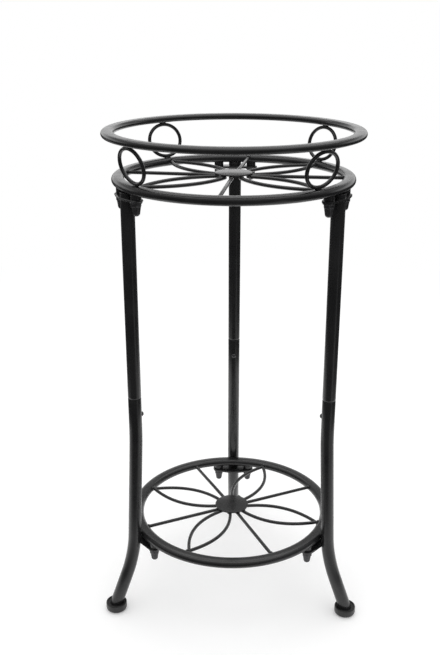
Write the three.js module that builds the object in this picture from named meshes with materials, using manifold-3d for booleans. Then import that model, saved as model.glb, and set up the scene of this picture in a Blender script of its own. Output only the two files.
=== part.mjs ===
// Two-tier round plant stand of black painted steel, bolted together from three leg assemblies,
// two shelf rings and a guard ring held over the upper shelf by wire loops.
// Units are millimetres and degrees, +Z is up and z = 0 is the floor. The front is towards -Y.
// Bearings are counted anticlockwise from +X, seen from above, about the stand's upright axis.

import * as THREE from 'three';
import { mergeVertices } from 'three/addons/utils/BufferGeometryUtils.js';
import Module from 'manifold-3d';

const wasm = await Module();
wasm.setup();

// ---------------------------------------------------------------- driving dimensions

const SEAT_GAP = 0.3; // between pieces that touch or are welded together

// Legs: a straight upper tube plugged into a bent lower tube
const LEG_BEARINGS = [90, 210, 330];
const LEG_RADIUS = 143.7; // from the stand's axis to the upper tube's axis
const TUBE_DIAMETER = 17.2;
const TUBE_WALL = 1.2;
const SPLICE_HEIGHT = 311.7;
const SPLICE_BEVEL = 0.8;
const SPIGOT_LENGTH = 38;
const SOCKET_RUN = 42; // upright stretch of the lower tube that takes the spigot
const LEAN_ANGLE = 2.8;
const LEAN_BEND_RADIUS = 600;
const FLARE_HEIGHT = 111; // where the foot's outward bend starts
const FLARE_RADIUS = 178;
const FLARE_ANGLE = 22.5;
const TUBE_END_HEIGHT = 6; // centre of the cut end inside the foot

// Splice screws, on the side of each leg that faces the stand's axis
const SCREW_DROP = 24.2; // below the splice
const SCREW_DIAMETER = 4;
const SCREW_LENGTH = 5;
const SCREW_HEAD_DIAMETER = 6.8;
const SCREW_HEAD_HEIGHT = 3;
const SCREW_HOLE_CLEARANCE = 0.3;

// Feet: round glides pushed on the tube ends
const FOOT_RADIUS = 14.2;
const FOOT_HEIGHT = 11.8;
const FOOT_SOLE_RADIUS = 10.5;
const FOOT_SIDE_LOW = 4.5;
const FOOT_SIDE_HIGH = 9.6;
const FOOT_RIM_RADIUS = 13;
const FOOT_DISH_RADIUS = 11.4;
const FOOT_DISH_DEPTH = 1.8;

// Rings: flattened tube, wider than it is tall
const RING_WALL = 1.4;
const SHELF_RING_WIDTH = 16.2;
const SHELF_RING_HEIGHT = 10.6;
const GUARD_RING_RADIUS = 154.5;
const GUARD_RING_WIDTH = 16;
const GUARD_RING_HEIGHT = 8.1;
const TOP_RING_LEVEL = 583.9; // heights of the rings' mid planes
const LOWER_RING_LEVEL = 107.7;
const GUARD_RING_LEVEL = 639.8;
const VENT_DIAMETER = 3; // drain hole under the guard ring
const VENT_BEARING = 90;

// Wire: shelf rods and guard loops
const WIRE_DIAMETER = 4.6;
const ROD_RISE = 1.5; // rods above the ring's mid plane
const HUB_RADIUS = 23.4;
const HUB_THICKNESS = 1.8;
const HUB_BEVEL = 0.5;
const ROD_START_RADIUS = 17; // where rods end under the hub
const PETAL_ROOT_HALF_WIDTH = 6.2;
const PETAL_HALF_WIDTH = 19.5;
const PETAL_TIP_DIAMETER = 5.4;
const LOWER_SHELF_PETALS = [68, 159, 244, 342];
const LOWER_SHELF_SPOKES = [26, 117, 206, 295];
const TOP_SHELF_PETALS = [37, 130, 216, 318];
const TOP_SHELF_SPOKES = [82, 172, 264, 355];
const LOOP_BEARINGS = [38, 130, 219, 313];
const LOOP_HALF_WIDTH = 25.5;
const LOOP_TOP_INSET = 2; // loop top inside the guard ring's middle
const LOOP_END_GAP = 0.5; // between the wire's butted ends

// Brackets: an oval flange with two spacers, hung under a shelf ring by two domed bolts
const BOLT_SPACING = 45;
const BRACKET_END_RADIUS = 8.5;
const BRACKET_MIDDLE_RADIUS = 13;
const BRACKET_THICKNESS = 2.5;
const SPACER_DIAMETER = 12.5;
const SPACER_HEIGHT = 5;
const BOLT_DIAMETER = 6;
const BOLT_HOLE_CLEARANCE = 0.3;
const BOLT_REACH = 4; // how far the shank enters the ring
const BOLT_FLANGE_DIAMETER = 15;
const BOLT_FLANGE_THICKNESS = 1.6;
const BOLT_HEX_ACROSS_FLATS = 12;
const BOLT_HEX_HEIGHT = 4.2;
const BOLT_CAP_DIAMETER = 11.4; // the tapered cap under the hexagon
const BOLT_CAP_HEIGHT = 7.6;
const BOLT_DOME_DIAMETER = 9;
const BOLT_DOME_HEIGHT = 3.6;

// Facets
const RING_SEGMENTS = 48;
const SECTION_STEPS = 4; // per rounded side of a ring's outer section
const BORE_STEPS = 2; // and of its hollow
const TUBE_SIDES = 12;
const WIRE_SIDES = 6;
const LOOP_STEPS = 18;
const PETAL_STEPS = 5;
const FLARE_STEPS = 6;
const LEAN_STEPS = 2;
const FOOT_SEGMENTS = 12;
const HUB_SEGMENTS = 24;
const SMALL_ROUND_SEGMENTS = 8;
const FLANGE_ARC_STEPS = 2;
const DOME_STEPS = 3;

// ---------------------------------------------------------------- sizes worked out from them

const TUBE_RADIUS = TUBE_DIAMETER / 2;
const WIRE_RADIUS = WIRE_DIAMETER / 2;
const SPIGOT_RADIUS = TUBE_RADIUS - TUBE_WALL - SEAT_GAP;
const TOP_RING_RADIUS = LEG_RADIUS;
const SHELF_RING_DROP = SHELF_RING_HEIGHT / 2; // mid plane to underside
const UPPER_LEG_TOP = TOP_RING_LEVEL - SHELF_RING_DROP - SEAT_GAP;
const SCREW_HEIGHT = SPLICE_HEIGHT - SCREW_DROP;
const LOWER_LEG_STATIONS = lowerLegStations();
const FOOT_CENTRE_RADIUS = legRadiusAt((TUBE_END_HEIGHT + FOOT_HEIGHT) / 2);
const LOWER_RING_RADIUS = legRadiusAt(LOWER_RING_LEVEL) - TUBE_RADIUS - SEAT_GAP - SHELF_RING_WIDTH / 2;
// The origin lies under the middle of the stand's outline: between the guard ring's front and the rear foot
const FRONT_REACH = GUARD_RING_RADIUS + GUARD_RING_WIDTH / 2;
const REAR_REACH = FOOT_CENTRE_RADIUS + FOOT_RADIUS;
const AXIS_Y = (FRONT_REACH - REAR_REACH) / 2;

const blackPaint = new THREE.MeshStandardMaterial({ color: 0x1b1b1d, roughness: 0.38, metalness: 0.35 });
const blackFastener = new THREE.MeshStandardMaterial({ color: 0x161617, roughness: 0.45, metalness: 0.5 });
const blackRubber = new THREE.MeshStandardMaterial({ color: 0x141414, roughness: 0.6, metalness: 0 });

// ---------------------------------------------------------------- helpers

function toSolid(geometry) {
  const bare = geometry.clone();
  bare.deleteAttribute('normal');
  bare.deleteAttribute('uv');
  const merged = mergeVertices(bare, 1e-4);
  return new wasm.Manifold(new wasm.Mesh({
    numProp: 3,
    vertProperties: new Float32Array(merged.attributes.position.array),
    triVerts: new Uint32Array(merged.index.array),
  }));
}

function toGeometry(solid) {
  const mesh = solid.getMesh();
  const geometry = new THREE.BufferGeometry();
  geometry.setAttribute('position', new THREE.BufferAttribute(mesh.vertProperties, 3));
  geometry.setIndex(new THREE.BufferAttribute(mesh.triVerts, 1));
  geometry.computeVertexNormals();
  return geometry;
}

function joinAll(solids) {
  return solids.reduce((whole, piece) => whole.add(piece));
}

function cutAll(body, tools) {
  return tools.reduce((rest, tool) => rest.subtract(tool), body);
}

function revolve(profile, segments) {
  // The lathe turns about Y, so the result is tipped to stand on +Z
  return new THREE.LatheGeometry(profile, segments).rotateX(Math.PI / 2);
}

function point(x, y) {
  return new THREE.Vector2(x, y);
}

function uprightCylinder(radius, low, high, segments) {
  const cylinder = new THREE.CylinderGeometry(radius, radius, high - low, segments);
  return cylinder.rotateX(Math.PI / 2).translate(0, 0, (low + high) / 2);
}

function radialCylinder(radius, near, far, height, segments) {
  const cylinder = new THREE.CylinderGeometry(radius, radius, far - near, segments);
  return cylinder.rotateZ(Math.PI / 2).translate((near + far) / 2, 0, height);
}

function radians(degrees) {
  return THREE.MathUtils.degToRad(degrees);
}

function named(name, geometry, material) {
  const mesh = new THREE.Mesh(geometry, material);
  mesh.name = name;
  return mesh;
}

// A centre line given by its own stations, so a straight run takes one step and a bend takes several
class StationCurve extends THREE.Curve {
  constructor(stations) {
    super();
    this.stations = stations;
  }

  stationAt(u) {
    return this.stations[Math.round(u * (this.stations.length - 1))];
  }

  getPointAt(u, target = new THREE.Vector3()) {
    return target.copy(this.stationAt(u).place);
  }

  getTangentAt(u, target = new THREE.Vector3()) {
    return target.copy(this.stationAt(u).heading);
  }
}

function sweep(shape, stations, sides) {
  return new THREE.ExtrudeGeometry(shape, {
    steps: stations.length - 1,
    extrudePath: new StationCurve(stations),
    curveSegments: sides / 2,
  });
}

function disc(radius) {
  return new THREE.Shape().absarc(0, 0, radius, 0, 2 * Math.PI);
}

// ---------------------------------------------------------------- legs

// Centre line of the lower tube in the XZ plane of a leg on bearing 0, from the splice down
function lowerLegStations() {
  const stations = [];
  const lean = radians(LEAN_ANGLE);
  const flare = radians(FLARE_ANGLE);
  let x = LEG_RADIUS;
  let z = SPLICE_HEIGHT;
  const put = (angle) => {
    stations.push({
      place: new THREE.Vector3(x, 0, z),
      heading: new THREE.Vector3(Math.sin(angle), 0, -Math.cos(angle)),
    });
  };
  const bend = (from, to, radius, steps) => {
    const startX = x;
    const startZ = z;
    for (let step = 1; step <= steps; step += 1) {
      const angle = from + ((to - from) * step) / steps;
      x = startX + radius * (Math.cos(from) - Math.cos(angle));
      z = startZ - radius * (Math.sin(angle) - Math.sin(from));
      put(angle);
    }
  };
  const runDownTo = (height, angle) => {
    x += (z - height) * Math.tan(angle);
    z = height;
    put(angle);
  };
  put(0);
  runDownTo(SPLICE_HEIGHT - SOCKET_RUN, 0);
  bend(0, lean, LEAN_BEND_RADIUS, LEAN_STEPS);
  runDownTo(FLARE_HEIGHT, lean);
  bend(lean, flare, FLARE_RADIUS, FLARE_STEPS);
  runDownTo(TUBE_END_HEIGHT, flare);
  return stations;
}

function legRadiusAt(height) {
  const below = LOWER_LEG_STATIONS.findIndex((station) => station.place.z <= height);
  const low = LOWER_LEG_STATIONS[below].place;
  const high = LOWER_LEG_STATIONS[below - 1].place;
  return THREE.MathUtils.mapLinear(height, low.z, high.z, low.x, high.x);
}

// What a piece that takes the lower tube is cut with: the tube's outside plus the seat gap
function lowerLegCutter() {
  return toSolid(sweep(disc(TUBE_RADIUS + SEAT_GAP), LOWER_LEG_STATIONS, TUBE_SIDES));
}

function screwHole() {
  const radius = SCREW_DIAMETER / 2 + SCREW_HOLE_CLEARANCE;
  return toSolid(radialCylinder(radius, -TUBE_DIAMETER, 0, SCREW_HEIGHT, SMALL_ROUND_SEGMENTS));
}

function upperLegGeometry() {
  const bore = TUBE_RADIUS - TUBE_WALL;
  const spigotBore = SPIGOT_RADIUS - TUBE_WALL;
  const spigotEnd = SPLICE_HEIGHT - SPIGOT_LENGTH;
  const shoulder = SPLICE_HEIGHT + SEAT_GAP;
  const tube = revolve([
    point(spigotBore, spigotEnd),
    point(SPIGOT_RADIUS - SPLICE_BEVEL, spigotEnd),
    point(SPIGOT_RADIUS, spigotEnd + SPLICE_BEVEL),
    point(SPIGOT_RADIUS, shoulder),
    point(TUBE_RADIUS - SPLICE_BEVEL, shoulder),
    point(TUBE_RADIUS, shoulder + SPLICE_BEVEL),
    point(TUBE_RADIUS, UPPER_LEG_TOP),
    point(bore, UPPER_LEG_TOP),
    point(bore, shoulder + TUBE_WALL),
    point(spigotBore, shoulder - TUBE_WALL),
    point(spigotBore, spigotEnd),
  ], TUBE_SIDES);
  return toGeometry(toSolid(tube).subtract(screwHole()));
}

function lowerLegGeometry() {
  const section = disc(TUBE_RADIUS);
  section.holes.push(new THREE.Path().absarc(0, 0, TUBE_RADIUS - TUBE_WALL, 0, 2 * Math.PI));
  const tube = toSolid(sweep(section, LOWER_LEG_STATIONS, TUBE_SIDES));
  const hole = screwHole().translate([LEG_RADIUS, 0, 0]);
  return toGeometry(tube.subtract(hole));
}

// Profile points from a dome's rim to its crown; a negative height points the dome down
function domePoints(rimLevel, radius, height) {
  const quarter = new THREE.EllipseCurve(0, rimLevel, radius, height, 0, Math.PI / 2);
  return [...quarter.getPoints(DOME_STEPS).slice(0, -1), point(0, rimLevel + height)];
}

// A domed head that lies on the tube, with its shank pointing along +X into the tube
function screwGeometry() {
  const headRadius = SCREW_HEAD_DIAMETER / 2;
  const shankRadius = SCREW_DIAMETER / 2;
  const profile = [
    point(0, -SCREW_LENGTH),
    point(shankRadius, -SCREW_LENGTH),
    point(shankRadius, 0),
    ...domePoints(0, headRadius, SCREW_HEAD_HEIGHT),
  ];
  return revolve(profile, SMALL_ROUND_SEGMENTS).rotateY(-Math.PI / 2);
}

// A round glide with a dished top; the tube's cut end is sunk in it
function footGeometry() {
  const dishFloor = FOOT_HEIGHT - FOOT_DISH_DEPTH;
  const glide = toSolid(revolve([
    point(0, 0),
    point(FOOT_SOLE_RADIUS, 0),
    ...cornerArc(FOOT_SOLE_RADIUS, 0, FOOT_RADIUS, FOOT_SIDE_LOW),
    point(FOOT_RADIUS, FOOT_SIDE_HIGH),
    point(FOOT_RIM_RADIUS, FOOT_HEIGHT),
    point(FOOT_DISH_RADIUS, dishFloor),
    point(0, dishFloor),
  ], FOOT_SEGMENTS));
  const inLegFrame = glide.translate([FOOT_CENTRE_RADIUS, 0, 0]);
  return toGeometry(inLegFrame.subtract(lowerLegCutter()));
}

// Quarter of an ellipse that leaves (startX, startY) flat and ends upright at (endX, endY)
function cornerArc(startX, startY, endX, endY) {
  const arc = new THREE.EllipseCurve(startX, endY, endX - startX, endY - startY, -Math.PI / 2, 0);
  return arc.getPoints(DOME_STEPS).slice(1);
}

// ---------------------------------------------------------------- rings

function flatOvalSection(centreRadius, width, height, steps) {
  const straight = (width - height) / 2;
  const section = new THREE.Path();
  section.absarc(centreRadius + straight, 0, height / 2, -Math.PI / 2, Math.PI / 2);
  section.absarc(centreRadius - straight, 0, height / 2, Math.PI / 2, (3 * Math.PI) / 2);
  const points = section.getPoints(steps / 2);
  return [...points, points[0].clone()];
}

function hollowRing(centreRadius, width, height) {
  const outside = revolve(flatOvalSection(centreRadius, width, height, SECTION_STEPS), RING_SEGMENTS);
  const boreWidth = width - 2 * RING_WALL;
  const boreHeight = height - 2 * RING_WALL;
  const bore = revolve(flatOvalSection(centreRadius, boreWidth, boreHeight, BORE_STEPS), RING_SEGMENTS);
  return toSolid(outside).subtract(toSolid(bore));
}

// Places of the two bolts of every bracket under a ring
function boltPlaces(ringRadius) {
  const halfAngle = THREE.MathUtils.radToDeg(Math.asin(BOLT_SPACING / 2 / ringRadius));
  return LEG_BEARINGS.flatMap((bearing) => [bearing - halfAngle, bearing + halfAngle]);
}

function shelfRingGeometry(ringRadius) {
  const holeRadius = BOLT_DIAMETER / 2 + BOLT_HOLE_CLEARANCE;
  const holes = boltPlaces(ringRadius).map((bearing) => {
    const hole = toSolid(uprightCylinder(holeRadius, -SHELF_RING_HEIGHT, 0, SMALL_ROUND_SEGMENTS));
    return hole.translate([ringRadius, 0, 0]).rotate([0, 0, bearing]);
  });
  return toGeometry(cutAll(hollowRing(ringRadius, SHELF_RING_WIDTH, SHELF_RING_HEIGHT), holes));
}

function guardRingGeometry() {
  const ring = hollowRing(GUARD_RING_RADIUS, GUARD_RING_WIDTH, GUARD_RING_HEIGHT);
  const vent = toSolid(uprightCylinder(VENT_DIAMETER / 2, -GUARD_RING_HEIGHT, 0, WIRE_SIDES));
  return toGeometry(ring.subtract(vent.translate([GUARD_RING_RADIUS, 0, 0]).rotate([0, 0, VENT_BEARING])));
}

// An oval wire loop that stands on the top ring and leans out to the guard ring's underside
function guardLoopGeometry() {
  const lowZ = TOP_RING_LEVEL + SHELF_RING_DROP + SEAT_GAP + WIRE_RADIUS;
  const highZ = GUARD_RING_LEVEL - GUARD_RING_HEIGHT / 2 - SEAT_GAP - WIRE_RADIUS;
  const low = new THREE.Vector3(TOP_RING_RADIUS, 0, lowZ);
  const high = new THREE.Vector3(GUARD_RING_RADIUS - LOOP_TOP_INSET, 0, highZ);
  const centre = low.clone().add(high).divideScalar(2);
  const upward = high.clone().sub(centre);
  const sideways = new THREE.Vector3(0, LOOP_HALF_WIDTH, 0);
  const endAngle = LOOP_END_GAP / 2 / LOOP_HALF_WIDTH;
  const stations = [];
  for (let step = 0; step <= LOOP_STEPS; step += 1) {
    const angle = THREE.MathUtils.lerp(endAngle, 2 * Math.PI - endAngle, step / LOOP_STEPS);
    const place = centre.clone();
    place.addScaledVector(upward, Math.cos(angle)).addScaledVector(sideways, Math.sin(angle));
    const heading = new THREE.Vector3();
    heading.addScaledVector(upward, -Math.sin(angle)).addScaledVector(sideways, Math.cos(angle));
    stations.push({ place, heading: heading.normalize() });
  }
  return sweep(disc(WIRE_RADIUS), stations, WIRE_SIDES);
}

// ---------------------------------------------------------------- shelf rods

// Where a rod stops short of a shelf ring's inner side
function rodEndRadius(ringRadius) {
  return ringRadius - SHELF_RING_WIDTH / 2 - SEAT_GAP;
}

function spokeGeometry(ringRadius) {
  return radialCylinder(WIRE_RADIUS, ROD_START_RADIUS, rodEndRadius(ringRadius), ROD_RISE, WIRE_SIDES);
}

// Two bowed rods that leave the hub side by side and meet at the ring, welded at the tip
function petalGeometry(ringRadius) {
  const tipRadius = PETAL_TIP_DIAMETER / 2;
  const tip = new THREE.Vector3(rodEndRadius(ringRadius) - tipRadius, 0, ROD_RISE);
  const bowedRod = (side) => {
    const root = new THREE.Vector3(ROD_START_RADIUS, side * PETAL_ROOT_HALF_WIDTH, ROD_RISE);
    const middle = root.clone().add(tip).divideScalar(2);
    const pull = middle.clone();
    pull.y = 2 * side * PETAL_HALF_WIDTH - middle.y;
    const bow = new THREE.QuadraticBezierCurve3(root, pull, tip);
    return toSolid(new THREE.ExtrudeGeometry(disc(WIRE_RADIUS), {
      steps: PETAL_STEPS,
      extrudePath: bow,
      curveSegments: WIRE_SIDES / 2,
    }));
  };
  const weld = new THREE.SphereGeometry(tipRadius, WIRE_SIDES, WIRE_SIDES / 2);
  return toGeometry(joinAll([bowedRod(-1), bowedRod(1), toSolid(weld.translate(tip.x, 0, tip.z))]));
}

function hubGeometry() {
  const low = ROD_RISE + WIRE_RADIUS + SEAT_GAP;
  const high = low + HUB_THICKNESS;
  return revolve([
    point(0, low),
    point(HUB_RADIUS - HUB_BEVEL, low),
    point(HUB_RADIUS, low + HUB_BEVEL),
    point(HUB_RADIUS, high - HUB_BEVEL),
    point(HUB_RADIUS - HUB_BEVEL, high),
    point(0, high),
  ], HUB_SEGMENTS);
}

// ---------------------------------------------------------------- brackets and bolts

// Outline of two end circles and a larger middle circle, joined by their shared tangents
function ovalFlangeShape() {
  const half = BOLT_SPACING / 2;
  const tangent = Math.acos((BRACKET_MIDDLE_RADIUS - BRACKET_END_RADIUS) / half);
  const shape = new THREE.Shape();
  shape.absarc(half, 0, BRACKET_END_RADIUS, -tangent, tangent);
  shape.absarc(0, 0, BRACKET_MIDDLE_RADIUS, tangent, Math.PI - tangent);
  shape.absarc(-half, 0, BRACKET_END_RADIUS, Math.PI - tangent, Math.PI + tangent);
  shape.absarc(0, 0, BRACKET_MIDDLE_RADIUS, Math.PI + tangent, 2 * Math.PI - tangent);
  return shape;
}

// A bracket for a leg on bearing 0, in the leg's own frame, cut to let the leg through or cradle it
function bracketGeometry(ringRadius, ringLevel, legCutter) {
  const spacerTop = ringLevel - SHELF_RING_DROP - SEAT_GAP;
  const plateTop = spacerTop - SPACER_HEIGHT;
  const plateLow = plateTop - BRACKET_THICKNESS;
  const boltLineRadius = Math.sqrt(ringRadius ** 2 - (BOLT_SPACING / 2) ** 2);
  const plate = new THREE.ExtrudeGeometry(ovalFlangeShape(), {
    depth: BRACKET_THICKNESS,
    bevelEnabled: false,
    curveSegments: FLANGE_ARC_STEPS,
  });
  const tangentialPlate = toSolid(plate.rotateZ(Math.PI / 2).translate(boltLineRadius, 0, plateLow));
  const atBolts = (makeSolid) => [-1, 1].map((side) => {
    return makeSolid().translate([boltLineRadius, (side * BOLT_SPACING) / 2, 0]);
  });
  const spacers = atBolts(() => {
    return toSolid(uprightCylinder(SPACER_DIAMETER / 2, plateLow, spacerTop, SMALL_ROUND_SEGMENTS));
  });
  const holes = atBolts(() => {
    const radius = BOLT_DIAMETER / 2 + BOLT_HOLE_CLEARANCE;
    return toSolid(uprightCylinder(radius, plateLow - SEAT_GAP, spacerTop + SEAT_GAP, SMALL_ROUND_SEGMENTS));
  });
  return toGeometry(cutAll(joinAll([tangentialPlate, ...spacers]), [legCutter, ...holes]));
}

function upperLegCutter() {
  const radius = TUBE_RADIUS + SEAT_GAP;
  const cutter = toSolid(uprightCylinder(radius, SPLICE_HEIGHT, TOP_RING_LEVEL, TUBE_SIDES));
  return cutter.translate([LEG_RADIUS, 0, 0]);
}

// A bolt with its flange's upper face at z = 0, its shank up and its hexagon, tapered cap and dome below
function domedBoltGeometry() {
  const flangeRadius = BOLT_FLANGE_DIAMETER / 2;
  const capRadius = BOLT_CAP_DIAMETER / 2;
  const domeRadius = BOLT_DOME_DIAMETER / 2;
  const hexLow = -BOLT_FLANGE_THICKNESS - BOLT_HEX_HEIGHT;
  const shankTop = BRACKET_THICKNESS + SPACER_HEIGHT + 2 * SEAT_GAP + BOLT_REACH;
  const hexRadius = BOLT_HEX_ACROSS_FLATS / 2 / Math.cos(Math.PI / 6);
  const round = revolve([
    ...domePoints(hexLow - BOLT_CAP_HEIGHT, domeRadius, -BOLT_DOME_HEIGHT).reverse(),
    point(capRadius, hexLow),
    point(capRadius, -BOLT_FLANGE_THICKNESS),
    point(flangeRadius, -BOLT_FLANGE_THICKNESS),
    point(flangeRadius, 0),
    point(BOLT_DIAMETER / 2, 0),
    point(BOLT_DIAMETER / 2, shankTop),
    point(0, shankTop),
  ], SMALL_ROUND_SEGMENTS);
  const hexagon = uprightCylinder(hexRadius, hexLow, -BOLT_FLANGE_THICKNESS / 2, 6);
  return toGeometry(toSolid(round).add(toSolid(hexagon)));
}

// ---------------------------------------------------------------- assembly

// Adds one copy of a geometry for every bearing, numbered from 1 and turned about the stand's axis
function addAround(parent, name, geometry, material, bearings) {
  bearings.forEach((bearing, index) => {
    const copy = named(`${name}_${index + 1}`, geometry, material);
    copy.rotation.z = radians(bearing);
    parent.add(copy);
  });
}

function legs() {
  const group = new THREE.Group();
  const screw = screwGeometry();
  screw.translate(LEG_RADIUS - TUBE_RADIUS - SEAT_GAP, 0, SCREW_HEIGHT);
  const upperLeg = upperLegGeometry();
  upperLeg.translate(LEG_RADIUS, 0, 0);
  addAround(group, 'upper_leg', upperLeg, blackPaint, LEG_BEARINGS);
  addAround(group, 'lower_leg', lowerLegGeometry(), blackPaint, LEG_BEARINGS);
  addAround(group, 'splice_screw', screw, blackFastener, LEG_BEARINGS);
  addAround(group, 'foot', footGeometry(), blackRubber, LEG_BEARINGS);
  return group;
}

function shelf(name, ringRadius, level, petals, spokes) {
  const group = new THREE.Group();
  group.position.z = level;
  group.add(named(`${name}_ring`, shelfRingGeometry(ringRadius), blackPaint));
  group.add(named(`${name}_hub`, hubGeometry(), blackPaint));
  addAround(group, `${name}_petal`, petalGeometry(ringRadius), blackPaint, petals);
  addAround(group, `${name}_spoke`, spokeGeometry(ringRadius), blackPaint, spokes);
  return group;
}

function fastening(name, ringRadius, level, legCutter) {
  const group = new THREE.Group();
  const bracket = bracketGeometry(ringRadius, level, legCutter);
  addAround(group, `${name}_bracket`, bracket, blackPaint, LEG_BEARINGS);
  const flangeTop = level - SHELF_RING_DROP - SPACER_HEIGHT - BRACKET_THICKNESS - 2 * SEAT_GAP;
  const bolt = domedBoltGeometry();
  bolt.translate(ringRadius, 0, flangeTop);
  addAround(group, `${name}_bolt`, bolt, blackFastener, boltPlaces(ringRadius));
  return group;
}

function guard() {
  const group = new THREE.Group();
  const ring = named('guard_ring', guardRingGeometry(), blackPaint);
  ring.position.z = GUARD_RING_LEVEL;
  group.add(ring);
  addAround(group, 'guard_loop', guardLoopGeometry(), blackPaint, LOOP_BEARINGS);
  return group;
}

const stand = new THREE.Group();
stand.position.y = AXIS_Y;
stand.add(legs());
stand.add(guard());
stand.add(shelf('top', TOP_RING_RADIUS, TOP_RING_LEVEL, TOP_SHELF_PETALS, TOP_SHELF_SPOKES));
stand.add(shelf('lower', LOWER_RING_RADIUS, LOWER_RING_LEVEL, LOWER_SHELF_PETALS, LOWER_SHELF_SPOKES));
stand.add(fastening('top', TOP_RING_RADIUS, TOP_RING_LEVEL, upperLegCutter()));
stand.add(fastening('lower', LOWER_RING_RADIUS, LOWER_RING_LEVEL, lowerLegCutter()));

export default stand;
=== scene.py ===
"""Looks of a two-tier round plant stand of black painted steel: smooth tubes, rings and rods, cap nuts,
screws, rubber feet and weld beads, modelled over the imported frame. Lengths are metres, +Z is up and the
front is towards -Y. Bearings are counted anticlockwise from +X about the stand's upright axis."""
import itertools
import math

import bmesh
import bpy
from mathutils import Matrix, Vector, noise


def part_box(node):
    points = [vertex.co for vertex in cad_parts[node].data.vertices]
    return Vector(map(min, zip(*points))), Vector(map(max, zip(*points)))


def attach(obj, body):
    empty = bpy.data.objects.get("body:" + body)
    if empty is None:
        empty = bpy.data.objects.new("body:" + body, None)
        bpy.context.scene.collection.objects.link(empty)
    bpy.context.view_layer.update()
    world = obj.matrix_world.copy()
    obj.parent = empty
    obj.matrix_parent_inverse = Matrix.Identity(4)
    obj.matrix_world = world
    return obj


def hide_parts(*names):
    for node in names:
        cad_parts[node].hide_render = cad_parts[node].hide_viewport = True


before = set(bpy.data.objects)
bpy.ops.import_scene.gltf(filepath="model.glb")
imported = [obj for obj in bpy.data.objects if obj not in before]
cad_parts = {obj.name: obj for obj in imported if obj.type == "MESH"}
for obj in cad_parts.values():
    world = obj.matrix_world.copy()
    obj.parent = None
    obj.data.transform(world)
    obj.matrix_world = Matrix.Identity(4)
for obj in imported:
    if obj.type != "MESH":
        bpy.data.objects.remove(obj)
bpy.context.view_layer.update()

# ---------------------------------------------------------------- sizes

MM = 0.001

TUBE_WALL = 1.2 * MM
SWAGE_HEIGHT = 2.4 * MM  # where the upper tube narrows into its spigot
SWAGE_DEPTH = 0.9 * MM
RIM_BEVEL = 0.35 * MM
SOCKET_DEPTH = 12 * MM  # how far the lower tube's bore is modelled
LEAN_START = 42 * MM  # below the splice
LEAN_ANGLE = math.radians(2.8)
LEAN_RADIUS = 600 * MM
FLARE_HEIGHT = 111 * MM
FLARE_RADIUS = 178 * MM
FLARE_ANGLE = math.radians(22.5)
TUBE_END_HEIGHT = 6 * MM

SHELF_RING_WIDTH = 16.2 * MM
GUARD_RING_WIDTH = 16 * MM

WIRE_RADIUS = 2.3 * MM
ROD_START_RADIUS = 17 * MM
PETAL_ROOT_HALF_WIDTH = 6.2 * MM
PETAL_HALF_WIDTH = 19.5 * MM
PETAL_TIP_RADIUS = 2.7 * MM
PETAL_TIP_SPREAD = 0.9 * MM  # of the two weld collars at a petal's tip, from its middle
ROD_OVERLAP = WIRE_RADIUS / 4  # how far a rod reaches into the ring
ROD_BEVEL = WIRE_RADIUS / 4
PETAL_ROOT_SLOPE = 0.4  # of a petal's rods where they leave the hub
HUB_WELD_START = 18.6 * MM
HUB_WELD_LENGTH = 3 * MM
LOOP_TOP_INSET = 2 * MM  # from the middle of the guard ring's tube
LOOP_WELD_LENGTH = 7 * MM
HUB_BEVEL = 0.5 * MM

PLATE_THICKNESS = 2.5 * MM
PLATE_END_RADIUS = 8.5 * MM
PLATE_MIDDLE_RADIUS = 13 * MM
PLATE_BEVEL = 1.1 * MM
SPACER_RADIUS = 6.25 * MM
SPACER_BEVEL = 0.4 * MM

NUT_FLANGE_RADIUS = 7.5 * MM
NUT_FLANGE_THICKNESS = 1.6 * MM
NUT_ACROSS_FLATS = 12 * MM
NUT_HEX_HEIGHT = 4.2 * MM
NUT_CAP_RADIUS = 5.7 * MM
NUT_CAP_HEIGHT = 7.6 * MM
NUT_DOME_RADIUS = 4.5 * MM
NUT_BEVEL = 0.3 * MM
NUT_HEX_BEVEL = 0.6 * MM

SCREW_HEAD_RADIUS = 3.4 * MM
SCREW_HEAD_HEIGHT = 3 * MM

FOOT_SOLE_RADIUS = 10.5 * MM
FOOT_RADIUS = 14.2 * MM
FOOT_SIDE_LOW = 4.5 * MM
FOOT_SIDE_HIGH = 9.6 * MM
FOOT_RIM_RADIUS = 13 * MM
FOOT_DISH_RADIUS = 11.4 * MM
FOOT_DISH_DEPTH = 1.8 * MM

WELD_RADIUS = 1.1 * MM
WELD_RIPPLE = 0.35 * MM
WELD_RIPPLE_LENGTH = 1.8 * MM

# How finely the pieces are cut up
RING_STEPS = 180
RING_SECTION_SIDES = 28
TUBE_SIDES = 48
WIRE_SIDES = 16
WELD_SIDES = 10
LEAN_STEPS = 7
FLARE_STEPS = 28
BOW_STEPS = 36
LOOP_STEPS = 96
SMALL_ROUND_STEPS = 40
HUB_STEPS = 96
SCREW_ARCH_STEPS = 12
FOOT_SOLE_STEPS = 8
FOOT_RIM_STEPS = 6
NUT_DOME_STEPS = 12
WELD_SUBDIVISIONS = 3
BEVEL_SEGMENTS = 3
MERGE_DISTANCE = 0.0001 * MM

# Turns between two faces: from where an edge is rounded, shaded as an edge, or a face split in two
ROUNDED_EDGE = math.radians(28)
ROUNDED_NECK_EDGE = math.radians(12)
ROUNDED_CAP_EDGE = math.radians(6)
SHADED_EDGE = math.radians(40)
FLAT_EDGE = math.radians(1)

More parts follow.
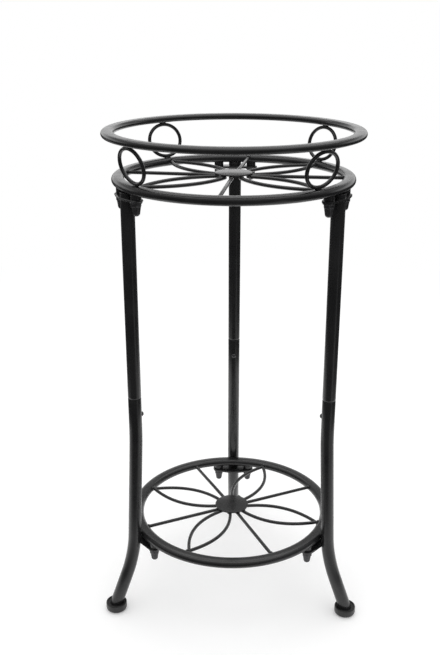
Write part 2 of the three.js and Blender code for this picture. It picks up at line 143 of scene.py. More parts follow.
# Finishes: (dark, light) shades, spans of roughness, and bumps as (size, height, strength, detail)
PATTERN_SPAN = (0.3, 0.7)  # noise is mostly between these
SHADE_STOPS = (0.35, 0.65)
PLASTIC_IOR = 1.5
PAINT_SHADES = ((0.0085, 0.0085, 0.009), (0.0135, 0.0135, 0.014))
PAINT_SHADE_SIZE = 60 * MM
PAINT_ROUGHNESS = (0.23, 0.33)
PAINT_ROUGHNESS_SIZE = 14 * MM
PAINT_COAT = 0.3
PAINT_COAT_ROUGHNESS = 0.12
PAINT_GRAIN = (1.6 * MM, 0.03 * MM, 0.35, 2)
PAINT_WAVES = (9 * MM, 0.05 * MM, 0.25, 2)
FASTENER_METAL = 0.7
FASTENER_SHADES = ((0.05, 0.05, 0.052), (0.08, 0.08, 0.082))
FASTENER_SHADE_SIZE = 5 * MM
FASTENER_ROUGHNESS = (0.16, 0.28)
FASTENER_ROUGHNESS_SIZE = 2 * MM
FASTENER_GRAIN = (0.5 * MM, 0.02 * MM, 0.3, 2)
RUBBER_SHADES = ((0.011, 0.011, 0.011), (0.019, 0.019, 0.019))
RUBBER_SHADE_SIZE = 8 * MM
RUBBER_ROUGHNESS = (0.26, 0.4)
RUBBER_ROUGHNESS_SIZE = 3 * MM
RUBBER_GRAIN = (0.35 * MM, 0.04 * MM, 0.4, 4)

# Camera, solved from the photograph's rings, legs and feet
PHOTO_HEIGHT = 655  # pixels
FOCAL_LENGTH = 869.4  # pixels
SENSOR_WIDTH = 36  # millimetres
NEAREST_SEEN = 0.05
FARTHEST_SEEN = 60
CAMERA_FROM_AXIS = Vector((15.3, -1083.9, 784.0)) * MM  # from the foot of the stand's axis
CAMERA_HEADING = math.radians(91.70)
CAMERA_PITCH = math.radians(-20.3)

# The studio: white paper and a white wall, which in gloss end at the sides and in front of the stand
# Where they end in gloss, a painted dark reflection takes their place.
FLOOR_SIZE = 30.0
FLOOR_SHADE = 0.88
FLOOR_LIFT = 0.175
NEAR_FLOOR = 0.9  # how far out the floor shows the stand's shadow
FAR_FLOOR = 1.7  # and from where it is plain white
PAPER_SIDE = (0.45, 0.85)  # where the paper's reflection fades out
PAPER_FRONT = (0.1, 0.42)
PAINTED_HIGHLIGHT_BAND = (0.08, 0.34)  # half the width of a painted highlight band to the front right, where the paper stays partly lit in gloss alone
# share of the painted dark reflection that is left inside the painted highlight band
PAINTED_HIGHLIGHT_DARK_SHARE = 0.55
WALL_TURN = (0.0, 0.5)  # share of a reflection's direction that points back: from the painted dark reflection to the lit wall
WALL_RISE = (0.2, 0.5)  # and that points up: from the lit wall to a painted dim ceiling reflection
PAINTED_CEILING_REFLECTION = 0.06
# the level of the painted dark reflection, shown in gloss alone in front of and beside the stand
PAINTED_DARK_REFLECTION = 0.04
OVERHEAD_RISE = (0.15, 0.65)  # from the painted dark reflection in front to painted reflections of diffusers overhead
PAINTED_OVERHEAD_REFLECTION = 0.4
AMBIENT = 0.74
OVERHEAD_POWER = 38
OVERHEAD_SIZE = 3.4
OVERHEAD_PLACE = Vector((0, 0.3, 2.6))
OVERHEAD_TARGET = Vector((0, 0, 0.35))

# ---------------------------------------------------------------- places taken from the frame


def middle(node):
    low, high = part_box(node)
    return (low + high) / 2


def level_line(point):
    return Vector((point.x, point.y, 0))


AXIS = level_line(middle("top_hub"))
TUBE_RADIUS = (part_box("upper_leg_1")[1].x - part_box("upper_leg_1")[0].x) / 2
LEG_RADIUS = (level_line(middle("upper_leg_1")) - AXIS).length
SPLICE_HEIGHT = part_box("lower_leg_1")[1].z
UPPER_LEG_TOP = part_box("upper_leg_1")[1].z
FOOT_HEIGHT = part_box("foot_1")[1].z


def bearing_of(node):
    """Bearing of a node's middle about the stand's axis, from its corner points."""
    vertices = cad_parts[node].data.vertices
    corners = {tuple(round(value, 6) for value in vertex.co) for vertex in vertices}
    out = sum((Vector(corner) for corner in corners), Vector()) / len(corners) - AXIS
    return math.atan2(out.y, out.x)


def about_axis(bearing):
    """Turns a piece modelled on bearing 0, with the stand's axis at the origin, to its own bearing."""
    return Matrix.Translation(AXIS) @ Matrix.Rotation(bearing, 4, "Z")


def numbered(stem, count):
    return [f"{stem}_{number}" for number in range(1, count + 1)]


# ---------------------------------------------------------------- mesh helpers


def upright(place, heading, side):
    """A frame whose Z runs along the heading and whose Y is the side direction."""
    across = side.cross(heading).normalized()
    turn = Matrix((across, side.normalized(), heading.normalized())).transposed()
    return Matrix.Translation(place) @ turn.to_4x4()


def extruded(bm, edges):
    """Extrudes a loop of edges and returns the new points and the new loop."""
    made = bmesh.ops.extrude_edge_only(bm, edges=edges)["geom"]
    points = [item for item in made if isinstance(item, bmesh.types.BMVert)]
    edges = [item for item in made if isinstance(item, bmesh.types.BMEdge)]
    loop = [edge for edge in edges if set(points).issuperset(edge.verts)]
    return points, loop


def headings_along(points):
    """Unit directions of a path: halfway between the runs that meet at each point."""
    runs = [(after - before).normalized() for before, after in zip(points, points[1:])]
    inner = [(before + after).normalized() for before, after in zip(runs, runs[1:])]
    return [runs[0], *inner, runs[-1]]


def tube_along(bm, points, radius, sides, side_direction):
    """Sweeps a round section along a path and returns the loops of edges at its two ends."""
    headings = headings_along(points)
    frames = [upright(place, heading, side_direction) for place, heading in zip(points, headings)]
    circle = bmesh.ops.create_circle(bm, segments=sides, radius=radius, matrix=frames[0])["verts"]
    first = list({edge for point in circle for edge in point.link_edges})
    loop = first
    for here, there in zip(frames, frames[1:]):
        new_points, loop = extruded(bm, loop)
        bmesh.ops.transform(bm, matrix=there @ here.inverted(), verts=new_points)
    return first, loop


def close_ends(bm, *loops):
    for loop in loops:
        bmesh.ops.edgeloop_fill(bm, edges=loop)


def lathe(profile, steps):
    """Spins a profile of (radius, height) points about the Z axis."""
    bm = bmesh.new()
    points = [bm.verts.new((radius, 0, height)) for radius, height in profile]
    edges = [bm.edges.new(pair) for pair in zip(points, points[1:])]
    bmesh.ops.spin(bm, geom=points + edges, cent=(0, 0, 0), axis=(0, 0, 1), angle=math.tau, steps=steps,
                   use_merge=True, use_duplicate=False)
    bmesh.ops.remove_doubles(bm, verts=bm.verts, dist=MERGE_DISTANCE)
    bmesh.ops.recalc_face_normals(bm, faces=bm.faces)
    return bm


def quarter_arc(centre, radii, start, steps):
    """Points of a quarter ellipse from the start angle on, in degrees."""
    points = []
    for step in range(steps + 1):
        angle = math.radians(start + 90 * step / steps)
        points.append((centre[0] + radii[0] * math.cos(angle), centre[1] + radii[1] * math.sin(angle)))
    return points


def soften(bm, width, least_turn=ROUNDED_EDGE):
    """Rounds every edge whose faces turn by more than the least turn."""
    shared = [edge for edge in bm.edges if len(edge.link_faces) == 2]
    sharp = [edge for edge in shared if edge.calc_face_angle() > least_turn]
    bmesh.ops.bevel(bm, geom=sharp, offset=width, offset_type="OFFSET", segments=BEVEL_SEGMENTS, profile=0.5,
                    affect="EDGES", clamp_overlap=True, material=-1)


def spin_round(bm, section, steps):
    """Spins a closed section about the Z axis into a full ring."""
    edges = list({edge for point in section for edge in point.link_edges})
    bmesh.ops.spin(bm, geom=section + edges, cent=(0, 0, 0), axis=(0, 0, 1), angle=math.tau, steps=steps,
                   use_merge=True, use_duplicate=False)


def standing_circle(bm, radius, level, section_radius, sides):
    """A round section that stands on the XZ plane, at a radius from the Z axis."""
    place = Matrix.Translation((radius, 0, level)) @ Matrix.Rotation(math.pi / 2, 4, "X")
    return bmesh.ops.create_circle(bm, segments=sides, radius=section_radius, matrix=place)["verts"]


def weld_collar(place, heading, radius):
    """The rippled bead of a weld that runs round a rod where it meets another piece."""
    bm = bmesh.new()
    spin_round(bm, standing_circle(bm, radius, 0, WELD_RADIUS, WELD_SIDES), SMALL_ROUND_STEPS)
    for point in bm.verts:
        ripple = noise.noise((point.co + place) / WELD_RIPPLE_LENGTH)
        point.co += level_line(point.co).normalized() * ripple * WELD_RIPPLE
    bmesh.ops.transform(bm, matrix=upright(place, heading, heading.orthogonal()), verts=bm.verts)
    return bm


def weld_run(start, end, radius):
    """A rippled bead laid in a straight line."""
    bm = bmesh.new()
    bmesh.ops.create_icosphere(bm, subdivisions=WELD_SUBDIVISIONS, radius=radius)
    along = (end - start).length / 2 + radius
    bmesh.ops.scale(bm, vec=(along / radius, 1, 1), verts=bm.verts)
    for point in bm.verts:
        ripple = noise.noise((point.co + start) / WELD_RIPPLE_LENGTH)
        point.co += Vector((0, point.co.y, point.co.z)).normalized() * ripple * WELD_RIPPLE
    turn = (end - start).to_track_quat("X", "Z").to_matrix().to_4x4()
    bmesh.ops.transform(bm, matrix=Matrix.Translation((start + end) / 2) @ turn, verts=bm.verts)
    return bm


def joined(parts):
    """One bmesh that holds several."""
    whole = bmesh.new()
    for part in parts:
        mesh = bpy.data.meshes.new("part")
        part.to_mesh(mesh)
        part.free()
        whole.from_mesh(mesh)
        bpy.data.meshes.remove(mesh)
    return whole


def piece(name, bm, finish, nodes=()):
    """Makes a finished mesh of the stand out of a bmesh, in place of the nodes that it stands for."""
    bmesh.ops.recalc_face_normals(bm, faces=bm.faces)
    for face in bm.faces:
        face.smooth = True
    mesh = bpy.data.meshes.new(name)
    bm.to_mesh(mesh)
    bm.free()
    mesh.set_sharp_from_angle(angle=SHADED_EDGE)
    mesh.materials.append(finish)
    made = bpy.data.objects.new(name, mesh)
    bpy.context.scene.collection.objects.link(made)
    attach(made, "root")
    if nodes:
        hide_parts(*nodes)
    return made


# ---------------------------------------------------------------- finishes


class Finish:
    """A procedural material: a Principled shader fed by patterns in object coordinates."""

    def __init__(self, name):
        self.material = bpy.data.materials.new(name)
        self.material.use_nodes = True
        self.nodes = self.material.node_tree.nodes
        self.links = self.material.node_tree.links
        self.shader = self.nodes["Principled BSDF"]
        self.place = self.nodes.new("ShaderNodeTexCoord").outputs["Object"]

    def set(self, **values):
        for name, value in values.items():
            self.shader.inputs[name.replace("_", " ")].default_value = value

    def pattern(self, size, detail):
        """Noise whose features are about the given size in metres."""
        texture = self.nodes.new("ShaderNodeTexNoise")
        texture.inputs["Scale"].default_value = 1 / size
        texture.inputs["Detail"].default_value = detail
        self.links.new(self.place, texture.inputs["Vector"])
        return texture.outputs["Fac"]

    def rough(self, size, span):
        """Lets the roughness go through a span from spot to spot."""
        spread = self.nodes.new("ShaderNodeMapRange")
        for name, number in zip(("From Min", "From Max", "To Min", "To Max"), (*PATTERN_SPAN, *span)):
            spread.inputs[name].default_value = number
        self.links.new(self.pattern(size, detail=4), spread.inputs["Value"])
        self.links.new(spread.outputs["Result"], self.shader.inputs["Roughness"])

    def tint(self, size, shades):
        """Lets the colour go from the dark to the light shade from spot to spot."""
        ramp = self.nodes.new("ShaderNodeValToRGB")
        for stop, position, shade in zip(ramp.color_ramp.elements, SHADE_STOPS, shades):
            stop.position = position
            stop.color = (*shade, 1)
        self.links.new(self.pattern(size, detail=3), ramp.inputs["Fac"])
        self.links.new(ramp.outputs["Color"], self.shader.inputs["Base Color"])

    def bump(self, *layers):
        """Raises the surface by (size, height, strength, detail) layers, one after the other."""
        normal = None
        for size, height, strength, detail in layers:
            raised = self.nodes.new("ShaderNodeBump")
            raised.inputs["Distance"].default_value = height
            raised.inputs["Strength"].default_value = strength
            self.links.new(self.pattern(size, detail), raised.inputs["Height"])
            if normal:
                self.links.new(normal, raised.inputs["Normal"])
            normal = raised.outputs["Normal"]
        self.links.new(normal, self.shader.inputs["Normal"])


def black_powder_coat():
    finish = Finish("black_paint")
    finish.set(Metallic=0, IOR=PLASTIC_IOR, Coat_Weight=PAINT_COAT, Coat_Roughness=PAINT_COAT_ROUGHNESS)
    finish.tint(PAINT_SHADE_SIZE, PAINT_SHADES)
    finish.rough(PAINT_ROUGHNESS_SIZE, PAINT_ROUGHNESS)
    finish.bump(PAINT_GRAIN, PAINT_WAVES)
    return finish.material


def black_fastener_coat():
    finish = Finish("black_fastener")
    finish.set(Metallic=FASTENER_METAL, IOR=PLASTIC_IOR)
    finish.tint(FASTENER_SHADE_SIZE, FASTENER_SHADES)
    finish.rough(FASTENER_ROUGHNESS_SIZE, FASTENER_ROUGHNESS)
    finish.bump(FASTENER_GRAIN)
    return finish.material


def black_moulded_rubber():
    finish = Finish("black_rubber")
    finish.set(Metallic=0, IOR=PLASTIC_IOR)
    finish.tint(RUBBER_SHADE_SIZE, RUBBER_SHADES)
    finish.rough(RUBBER_ROUGHNESS_SIZE, RUBBER_ROUGHNESS)
    finish.bump(RUBBER_GRAIN)
    return finish.material


# ---------------------------------------------------------------- legs


def arc(start, begin, end, radius, steps):
    """Points of a bend in the XZ plane that turns a downward tube's lean from begin to end."""
    points = []
    for step in range(1, steps + 1):
        lean = begin + (end - begin) * step / steps
        x = start.x + radius * (math.cos(begin) - math.cos(lean))
        z = start.z - radius * (math.sin(lean) - math.sin(begin))
        points.append(Vector((x, 0, z)))
    return points


def run_down(start, height, lean):
    return Vector((start.x + (start.z - height) * math.tan(lean), 0, height))


def lower_leg_path():
    points = [Vector((LEG_RADIUS, 0, SPLICE_HEIGHT)), Vector((LEG_RADIUS, 0, SPLICE_HEIGHT - LEAN_START))]
    points += arc(points[-1], 0, LEAN_ANGLE, LEAN_RADIUS, LEAN_STEPS)
    points.append(run_down(points[-1], FLARE_HEIGHT, LEAN_ANGLE))
    points += arc(points[-1], LEAN_ANGLE, FLARE_ANGLE, FLARE_RADIUS, FLARE_STEPS)
    points.append(run_down(points[-1], TUBE_END_HEIGHT, FLARE_ANGLE))
    return points


def lower_leg():
    """A bent tube, open at the top where the upper tube plugs in."""
    bm = bmesh.new()
    rim, end = tube_along(bm, lower_leg_path(), TUBE_RADIUS, TUBE_SIDES, Vector((0, 1, 0)))
    bore_points, bore_rim = extruded(bm, rim)
    to_axis = Matrix.Translation((-LEG_RADIUS, 0, 0))
    shrink = 1 - TUBE_WALL / TUBE_RADIUS
    bmesh.ops.scale(bm, vec=(shrink, shrink, 1), space=to_axis, verts=bore_points)
    deep_points, bore_end = extruded(bm, bore_rim)
    bmesh.ops.translate(bm, vec=(0, 0, -SOCKET_DEPTH), verts=deep_points)
    close_ends(bm, end, bore_end)
    soften(bm, RIM_BEVEL)
    return bm


def upper_leg():
    """A straight tube that narrows at its foot into the spigot."""
    shoulder = SPLICE_HEIGHT + SWAGE_HEIGHT
    neck = TUBE_RADIUS - SWAGE_DEPTH
    spigot = TUBE_RADIUS - TUBE_WALL - RIM_BEVEL
    bm = lathe([
        (0, UPPER_LEG_TOP),
        (TUBE_RADIUS, UPPER_LEG_TOP),
        (TUBE_RADIUS, shoulder),
        (neck, SPLICE_HEIGHT),
        (spigot, SPLICE_HEIGHT - SWAGE_DEPTH),
        (spigot, SPLICE_HEIGHT - SOCKET_DEPTH),
        (0, SPLICE_HEIGHT - SOCKET_DEPTH),
    ], TUBE_SIDES)
    soften(bm, RIM_BEVEL, ROUNDED_NECK_EDGE)
    bmesh.ops.translate(bm, vec=(LEG_RADIUS, 0, 0), verts=bm.verts)
    return bm


def splice_screw(height):
    """A plain round head, lying on the tube's side that faces the stand's axis."""
    dome = quarter_arc((0, 0), (SCREW_HEAD_RADIUS, SCREW_HEAD_HEIGHT), 0, SCREW_ARCH_STEPS)
    bm = lathe([(0, -TUBE_WALL), (SCREW_HEAD_RADIUS, -TUBE_WALL), *dome], SMALL_ROUND_STEPS)
    tube_side = Matrix.Translation((LEG_RADIUS - TUBE_RADIUS, 0, height))
    face_inwards = tube_side @ Matrix.Rotation(-math.pi / 2, 4, "Y")
    bmesh.ops.transform(bm, matrix=face_inwards, verts=bm.verts)
    return bm


def foot():
    """A moulded glide: flat sole, rounded side and a dished top that the tube is sunk in."""
    sole_radii = (FOOT_RADIUS - FOOT_SOLE_RADIUS, FOOT_SIDE_LOW)
    sole_round = quarter_arc((FOOT_SOLE_RADIUS, FOOT_SIDE_LOW), sole_radii, -90, FOOT_SOLE_STEPS)
    rim_radii = (FOOT_RADIUS - FOOT_RIM_RADIUS, FOOT_HEIGHT - FOOT_SIDE_HIGH)
    rim_round = quarter_arc((FOOT_RIM_RADIUS, FOOT_SIDE_HIGH), rim_radii, 0, FOOT_RIM_STEPS)
    dish_floor = FOOT_HEIGHT - FOOT_DISH_DEPTH
    bm = lathe([
        (0, 0),
        *sole_round,
        *rim_round,
        (FOOT_DISH_RADIUS, dish_floor),
        (0, dish_floor),
    ], SMALL_ROUND_STEPS)
    soften(bm, RIM_BEVEL)
    return bm


def model_legs(paint, fastener, rubber):
    for number in (1, 2, 3):
        turned = about_axis(bearing_of(f"upper_leg_{number}"))
        screw_height = middle(f"splice_screw_{number}").z
        for stem, bm, finish in (
            ("upper_leg", upper_leg(), paint),
            ("lower_leg", lower_leg(), paint),
            ("splice_screw", splice_screw(screw_height), fastener),
        ):
            bmesh.ops.transform(bm, matrix=turned, verts=bm.verts)
            piece(f"smooth_{stem}_{number}", bm, finish, [f"{stem}_{number}"])
        glide = foot()
        bmesh.ops.translate(glide, vec=level_line(middle(f"foot_{number}")), verts=glide.verts)
        piece(f"smooth_foot_{number}", glide, rubber, [f"foot_{number}"])


# ---------------------------------------------------------------- rings and rods


def ring_size(node, width):
    """Middle radius, mid level and height of a ring's flat-oval tube."""
    low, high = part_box(node)
    return (high.x - low.x) / 2 - width / 2, (low.z + high.z) / 2, high.z - low.z


def flat_oval_ring(radius, level, width, height):
    """Spins a circle that is pulled apart into a flat oval about the stand's axis."""
    bm = bmesh.new()
    section = standing_circle(bm, radius, level, height / 2, RING_SECTION_SIDES)
    for point in section:
        point.co.x += math.copysign((width - height) / 2, point.co.x - radius)
    spin_round(bm, section, RING_STEPS)
    bmesh.ops.translate(bm, vec=AXIS, verts=bm.verts)
    return bm


def rod_end_welds(end, level, spread=0.0):
    """The bead that joins a rod to the ring's inner side, wider where two rods meet there."""
    face = Vector((end - WELD_RADIUS / 2, 0, level))
    return [weld_collar(face + Vector((0, y, 0)), Vector((1, 0, 0)), WIRE_RADIUS) for y in {-spread, spread}]


def hub_welds(y, level, slope=0.0):
    """Short beads on both sides of a rod, under the edge of the hub that rests on it."""
    beads = []
    for side in (-1, 1):
        low = Vector((HUB_WELD_START, y + side * WIRE_RADIUS, level + WIRE_RADIUS / 2))
        high = low + Vector((HUB_WELD_LENGTH, HUB_WELD_LENGTH * slope, 0))
        beads.append(weld_run(low, high, WELD_RADIUS))
    return beads


def spoke(end, level):
    """A straight rod from the hub to the ring."""
    rod = bmesh.new()
    points = [Vector((ROD_START_RADIUS, 0, level)), Vector((end, 0, level))]
    close_ends(rod, *tube_along(rod, points, WIRE_RADIUS, WIRE_SIDES, Vector((0, 0, 1))))
    soften(rod, ROD_BEVEL)
    return joined([rod, *rod_end_welds(end, level), *hub_welds(0, level)])


def bowed_rod(bm, side, end, level):
    """One side of a petal: a rod bowed like a quadratic curve from the hub out to the petal's tip."""
    root = Vector((ROD_START_RADIUS, side * PETAL_ROOT_HALF_WIDTH, level))
    tip = Vector((end - PETAL_TIP_RADIUS, 0, level))
    pull = (root + tip) / 2
    pull.y = 2 * side * PETAL_HALF_WIDTH - pull.y
    points = []
    for step in range(BOW_STEPS + 1):
        share = step / BOW_STEPS
        points.append(root * (1 - share) ** 2 + pull * 2 * share * (1 - share) + tip * share ** 2)
    points.append(Vector((end, 0, level)))
    close_ends(bm, *tube_along(bm, points, WIRE_RADIUS, WIRE_SIDES, Vector((0, 0, 1))))


def petal(end, level):
    """Two bowed rods, welded together at the ring and to the hub."""
    rods = bmesh.new()
    welds = rod_end_welds(end, level, spread=PETAL_TIP_SPREAD)
    for side in (-1, 1):
        bowed_rod(rods, side, end, level)
        welds += hub_welds(side * PETAL_ROOT_HALF_WIDTH, level, slope=side * PETAL_ROOT_SLOPE)
    return joined([rods, *welds])


def hub(node):
    low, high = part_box(node)
    radius = (high.x - low.x) / 2
    bm = lathe([(0, low.z), (radius, low.z), (radius, high.z), (0, high.z)], HUB_STEPS)
    soften(bm, HUB_BEVEL)
    bmesh.ops.translate(bm, vec=AXIS, verts=bm.verts)
    return bm


def model_shelf(shelf, paint):
    radius, level, height = ring_size(f"{shelf}_ring", SHELF_RING_WIDTH)
    ring = flat_oval_ring(radius, level, SHELF_RING_WIDTH, height)
    piece(f"smooth_{shelf}_ring", ring, paint, [f"{shelf}_ring"])
    piece(f"smooth_{shelf}_hub", hub(f"{shelf}_hub"), paint, [f"{shelf}_hub"])
    rod_end = radius - SHELF_RING_WIDTH / 2 + ROD_OVERLAP
    for stem in ("petal", "spoke"):
        for node in numbered(f"{shelf}_{stem}", 4):
            rod_level = middle(node).z
            bm = petal(rod_end, rod_level) if stem == "petal" else spoke(rod_end, rod_level)
            bmesh.ops.transform(bm, matrix=about_axis(bearing_of(node)), verts=bm.verts)
            piece(f"smooth_{node}", bm, paint, [node])


def guard_loop(node, guard_radius):
    """An oval wire loop that stands on the top ring and leans out to the guard ring."""
    low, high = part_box(node)
    bottom = Vector((LEG_RADIUS, 0, low.z + WIRE_RADIUS))
    top = Vector((guard_radius - LOOP_TOP_INSET, 0, high.z - WIRE_RADIUS))
    centre = (bottom + top) / 2
    upward = top - centre
    sideways = Vector((0, loop_half_width(node), 0))
    points = []
    for step in range(LOOP_STEPS + 1):
        angle = math.tau * step / LOOP_STEPS
        points.append(centre + upward * math.cos(angle) + sideways * math.sin(angle))
    wire = bmesh.new()
    close_ends(wire, *tube_along(wire, points, WIRE_RADIUS, WIRE_SIDES, upward.cross(sideways)))
    welds = []
    for touch, side in itertools.product((bottom, top), (-1, 1)):
        face = touch + (touch - centre).normalized() * WIRE_RADIUS + Vector((side * WIRE_RADIUS / 2, 0, 0))
        half = Vector((0, LOOP_WELD_LENGTH / 2, 0))
        welds.append(weld_run(face - half, face + half, WELD_RADIUS))
    return joined([wire, *welds])


def loop_half_width(node):
    """Half the loop's width to its wire's centre, measured across its own bearing."""
    across = Matrix.Rotation(-bearing_of(node), 3, "Z")
    reach = [(across @ (vertex.co - AXIS)).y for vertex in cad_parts[node].data.vertices]
    return (max(reach) - min(reach)) / 2 - WIRE_RADIUS


def model_guard(paint):
    radius, level, height = ring_size("guard_ring", GUARD_RING_WIDTH)
    ring = flat_oval_ring(radius, level, GUARD_RING_WIDTH, height)
    piece("smooth_guard_ring", ring, paint, ["guard_ring"])
    for node in numbered("guard_loop", 4):
        bm = guard_loop(node, radius)
        bmesh.ops.transform(bm, matrix=about_axis(bearing_of(node)), verts=bm.verts)
        piece(f"smooth_{node}", bm, paint, [node])


# ---------------------------------------------------------------- brackets and cap nuts


def flange_plate(bm, places, low):
    """A plate whose outline is the hull of three circles: one round each bolt and a larger one between."""
    centre = (places[0] + places[1]) / 2
    rounds = [(places[0], PLATE_END_RADIUS), (places[1], PLATE_END_RADIUS), (centre, PLATE_MIDDLE_RADIUS)]
    points = []
    for place, radius in rounds:
        spot = Matrix.Translation((place.x, place.y, low))
        circle = bmesh.ops.create_circle(bm, segments=SMALL_ROUND_STEPS, radius=radius, matrix=spot)
        points += circle["verts"]
    hull = bmesh.ops.convex_hull(bm, input=points)
    inside = hull["geom_interior"] + hull["geom_unused"]
    spare = [item for item in inside if isinstance(item, bmesh.types.BMVert)]
    bmesh.ops.delete(bm, geom=spare, context="VERTS")
    bmesh.ops.dissolve_limit(bm, angle_limit=FLAT_EDGE, verts=bm.verts, edges=bm.edges)
    made = bmesh.ops.extrude_face_region(bm, geom=bm.faces[:])["geom"]
    top = [item for item in made if isinstance(item, bmesh.types.BMVert)]
    bmesh.ops.translate(bm, vec=(0, 0, PLATE_THICKNESS), verts=top)
    bmesh.ops.recalc_face_normals(bm, faces=bm.faces)
    soften(bm, PLATE_BEVEL)


def spacer(place, low, high):
    bm = lathe([(0, low), (SPACER_RADIUS, low), (SPACER_RADIUS, high), (0, high)], SMALL_ROUND_STEPS)
    soften(bm, SPACER_BEVEL)
    bmesh.ops.translate(bm, vec=level_line(place), verts=bm.verts)
    return bm


def cap_nut(flange_top, tip):
    """A washer flange, a hexagon with rounded corners and a tapered cap that hangs down."""
    flange_low = flange_top - NUT_FLANGE_THICKNESS
    flange = lathe([
        (0, flange_top),
        (NUT_FLANGE_RADIUS, flange_top),
        (NUT_FLANGE_RADIUS, flange_low),
        (0, flange_low),
    ], SMALL_ROUND_STEPS)
    soften(flange, NUT_BEVEL)
    hexagon = bmesh.new()
    corner_radius = NUT_ACROSS_FLATS / 2 / math.cos(math.pi / 6)
    hex_middle = Matrix.Translation((0, 0, flange_low - NUT_HEX_HEIGHT / 2))
    bmesh.ops.create_cone(hexagon, cap_ends=True, segments=6, radius1=corner_radius, radius2=corner_radius,
                          depth=NUT_HEX_HEIGHT, matrix=hex_middle)
    soften(hexagon, NUT_HEX_BEVEL)
    cap_top = flange_low - NUT_HEX_HEIGHT
    dome_top = cap_top - NUT_CAP_HEIGHT
    dome = quarter_arc((0, dome_top), (NUT_DOME_RADIUS, tip - dome_top), 0, NUT_DOME_STEPS)
    side = [(0, flange_low), (NUT_CAP_RADIUS, flange_low), (NUT_CAP_RADIUS, cap_top)]
    cap = lathe([*side, *dome], SMALL_ROUND_STEPS)
    soften(cap, NUT_BEVEL, ROUNDED_CAP_EDGE)
    return joined([flange, hexagon, cap])


def model_brackets(shelf, paint, fastener):
    for number in (1, 2, 3):
        bracket = f"{shelf}_bracket_{number}"
        bolts = [f"{shelf}_bolt_{2 * number - 1}", f"{shelf}_bolt_{2 * number}"]
        places = [level_line(middle(bolt)) for bolt in bolts]
        low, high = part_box(bracket)
        plate = bmesh.new()
        flange_plate(plate, places, low.z)
        ring_level = middle(f"{shelf}_ring").z
        spacers = [spacer(place, low.z + PLATE_BEVEL, (high.z + ring_level) / 2) for place in places]
        piece(f"smooth_{bracket}", joined([plate, *spacers]), paint, [bracket])
        for bolt, place in zip(bolts, places):
            nut = cap_nut(low.z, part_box(bolt)[0].z)
            bmesh.ops.translate(nut, vec=place, verts=nut.verts)
            piece(f"smooth_{bolt}", nut, fastener, [bolt])


# ---------------------------------------------------------------- floor, light and camera


class StudioNodes:
    """Small helpers for the node trees of the floor and the world."""

    def __init__(self, tree):
        self.nodes = tree.nodes
        self.links = tree.links
        self.path = tree.nodes.new("ShaderNodeLightPath").outputs
        self.place = tree.nodes.new("ShaderNodeTexCoord").outputs

    def feed(self, socket, value):
        """Gives a socket a plain number or another node's value."""
        if isinstance(value, (int, float)):
            socket.default_value = value
        else:
            self.links.new(value, socket)

    def math(self, operation, *values):
        step = self.nodes.new("ShaderNodeMath")
        step.operation = operation
        for socket, value in zip(step.inputs, values):
            self.feed(socket, value)
        return step.outputs["Value"]

    def glow(self, strength):
        """Plain white light."""
        emission = self.nodes.new("ShaderNodeEmission")
        self.feed(emission.inputs["Strength"], strength)
        return emission.outputs["Emission"]

    def matt_white(self, shade):
        sheet = self.nodes.new("ShaderNodeBsdfDiffuse")
        sheet.inputs["Color"].default_value = (shade, shade, shade, 1)
        return sheet.outputs["BSDF"]

    def both(self, first, second):
        added = self.nodes.new("ShaderNodeAddShader")
        self.links.new(first, added.inputs[0])
        self.links.new(second, added.inputs[1])
        return added.outputs["Shader"]

    def length(self, vector):
        measure = self.nodes.new("ShaderNodeVectorMath")
        measure.operation = "LENGTH"
        self.links.new(vector, measure.inputs[0])
        return measure.outputs["Value"]

    def fade(self, value, span, low=0.0, high=1.0):
        """Goes smoothly from low to high while the value goes through the span."""
        spread = self.nodes.new("ShaderNodeMapRange")
        spread.interpolation_type = "SMOOTHSTEP"
        for name, number in zip(("From Min", "From Max", "To Min", "To Max"), (*span, low, high)):
            spread.inputs[name].default_value = number
        self.links.new(value, spread.inputs["Value"])
        return spread.outputs["Result"]

    def parts(self, vector):
        split = self.nodes.new("ShaderNodeSeparateXYZ")
        self.links.new(vector, split.inputs["Vector"])
        return split.outputs["X"], split.outputs["Y"], split.outputs["Z"]

    def seen(self):
        """1 for rays that show a surface to the eye, in gloss or through glass, and else 0."""
        mirrored = self.math("MAXIMUM", self.path["Is Glossy Ray"], self.path["Is Transmission Ray"])
        return self.math("MAXIMUM", self.path["Is Camera Ray"], mirrored)

    def mix(self, factor, first, second):
        blend = self.nodes.new("ShaderNodeMixShader")
        self.links.new(factor, blend.inputs["Fac"])
        self.links.new(first, blend.inputs[1])
        self.links.new(second, blend.inputs[2])
        return blend.outputs["Shader"]


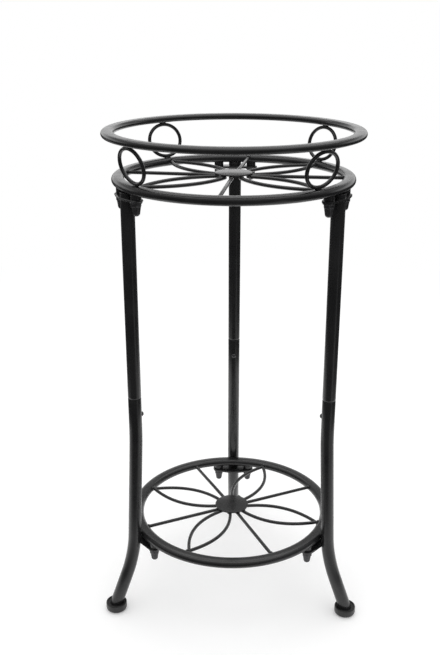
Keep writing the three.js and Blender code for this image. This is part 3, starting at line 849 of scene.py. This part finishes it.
def white_paper():
    """White to the eye, with the stand's shadow near it; in gloss it ends beside and before the stand in a
    painted dark reflection, save a painted highlight band.
    """
    material = bpy.data.materials.new("white_paper")
    material.use_nodes = True
    tree = material.node_tree
    tree.nodes.remove(tree.nodes["Principled BSDF"])
    studio = StudioNodes(tree)
    across, along, _ = studio.parts(studio.place["Object"])

    lift = studio.math("MULTIPLY", studio.seen(), FLOOR_LIFT)
    near = studio.both(studio.matt_white(FLOOR_SHADE), studio.glow(lift))
    far = studio.fade(studio.length(studio.place["Object"]), (NEAR_FLOOR, FAR_FLOOR))
    paper = studio.mix(studio.math("MULTIPLY", far, studio.seen()), near, studio.glow(1))

    # Painted dark reflection: in gloss alone the paper turns dark beside and in front of the stand
    aside = studio.fade(studio.math("ABSOLUTE", across), PAPER_SIDE)
    in_front = studio.fade(studio.math("MULTIPLY", along, -1), PAPER_FRONT)
    # Painted highlight: in gloss alone a band to the front right stays partly lit and draws a soft line down
    # each tube
    off_band = studio.math("ABSOLUTE", studio.math("ADD", across, along))
    outside_painted_highlight = studio.fade(off_band, PAINTED_HIGHLIGHT_BAND, PAINTED_HIGHLIGHT_DARK_SHARE, 1.0)
    dark = studio.math("MULTIPLY", studio.math("MAXIMUM", aside, in_front), outside_painted_highlight)
    in_gloss = studio.math("MULTIPLY", dark, studio.path["Is Glossy Ray"])
    whole = studio.mix(in_gloss, paper, studio.glow(PAINTED_DARK_REFLECTION))
    tree.links.new(whole, tree.nodes["Material Output"].inputs["Surface"])
    return material


def studio_floor():
    bm = bmesh.new()
    bmesh.ops.create_grid(bm, x_segments=1, y_segments=1, size=FLOOR_SIZE)
    mesh = bpy.data.meshes.new("floor")
    bm.to_mesh(mesh)
    bm.free()
    mesh.materials.append(white_paper())
    floor = bpy.data.objects.new("floor", mesh)
    bpy.context.scene.collection.objects.link(floor)


def studio_world():
    """White to the eye, even and softer as a lamp, and in gloss white behind the stand, with painted
    reflections: dim overhead and dark in front.
    """
    world = bpy.data.worlds.new("studio")
    bpy.context.scene.world = world
    world.use_nodes = True
    studio = StudioNodes(world.node_tree)
    _, back, rise = studio.parts(studio.place["Generated"])
    # Seen in gloss alone: the white wall behind, and painted reflections of a dim ceiling, diffusers
    # overhead and dark in front
    wall = studio.math("MULTIPLY", studio.fade(back, WALL_TURN), studio.fade(rise, WALL_RISE, 1.0, PAINTED_CEILING_REFLECTION))
    overhead = studio.fade(rise, OVERHEAD_RISE, PAINTED_DARK_REFLECTION, PAINTED_OVERHEAD_REFLECTION)
    in_gloss = studio.math("MAXIMUM", wall, overhead)
    shown = studio.math("MAXIMUM", studio.path["Is Camera Ray"], studio.path["Is Transmission Ray"])
    gloss = studio.math("MULTIPLY", studio.path["Is Glossy Ray"], in_gloss)
    as_lamp = studio.math("MULTIPLY", studio.math("SUBTRACT", 1, studio.seen()), AMBIENT)
    total = studio.math("ADD", studio.math("ADD", shown, gloss), as_lamp)
    world.node_tree.links.new(total, studio.nodes["Background"].inputs["Strength"])
    studio.nodes["Background"].inputs["Color"].default_value = (1, 1, 1, 1)


def overhead_softbox():
    lamp = bpy.data.lights.new("overhead", "AREA")
    lamp.size = OVERHEAD_SIZE
    lamp.energy = OVERHEAD_POWER
    holder = bpy.data.objects.new("overhead", lamp)
    holder.location = OVERHEAD_PLACE
    holder.rotation_euler = (OVERHEAD_TARGET - OVERHEAD_PLACE).to_track_quat("-Z", "Y").to_euler()
    bpy.context.scene.collection.objects.link(holder)


def photo_camera():
    """The photograph's point of view."""
    settings = bpy.data.cameras.new("photo_camera")
    settings.sensor_fit = "AUTO"  # the sensor's width lies along the picture's longer side, its height
    settings.sensor_width = SENSOR_WIDTH
    settings.lens = settings.sensor_width * FOCAL_LENGTH / PHOTO_HEIGHT
    settings.clip_start = NEAREST_SEEN
    settings.clip_end = FARTHEST_SEEN
    camera = bpy.data.objects.new("photo_camera", settings)
    camera.location = AXIS + CAMERA_FROM_AXIS
    camera.rotation_euler = (math.pi / 2 + CAMERA_PITCH, 0, CAMERA_HEADING - math.pi / 2)
    bpy.context.scene.collection.objects.link(camera)
    bpy.context.scene.camera = camera


# ---------------------------------------------------------------- the whole scene


def clear_plain_materials():
    """Every node gets a smooth piece with a finish of its own, so the plain ones aren't needed."""
    for plain in list(bpy.data.materials):
        bpy.data.materials.remove(plain)


def dress_stand():
    paint = black_powder_coat()
    fastener = black_fastener_coat()
    rubber = black_moulded_rubber()
    model_legs(paint, fastener, rubber)
    model_guard(paint)
    for shelf in ("top", "lower"):
        model_shelf(shelf, paint)
        model_brackets(shelf, paint, fastener)


def set_up_studio():
    studio_floor()
    studio_world()
    overhead_softbox()
    photo_camera()
    bpy.context.scene.view_settings.view_transform = "Standard"


clear_plain_materials()
dress_stand()
set_up_studio()
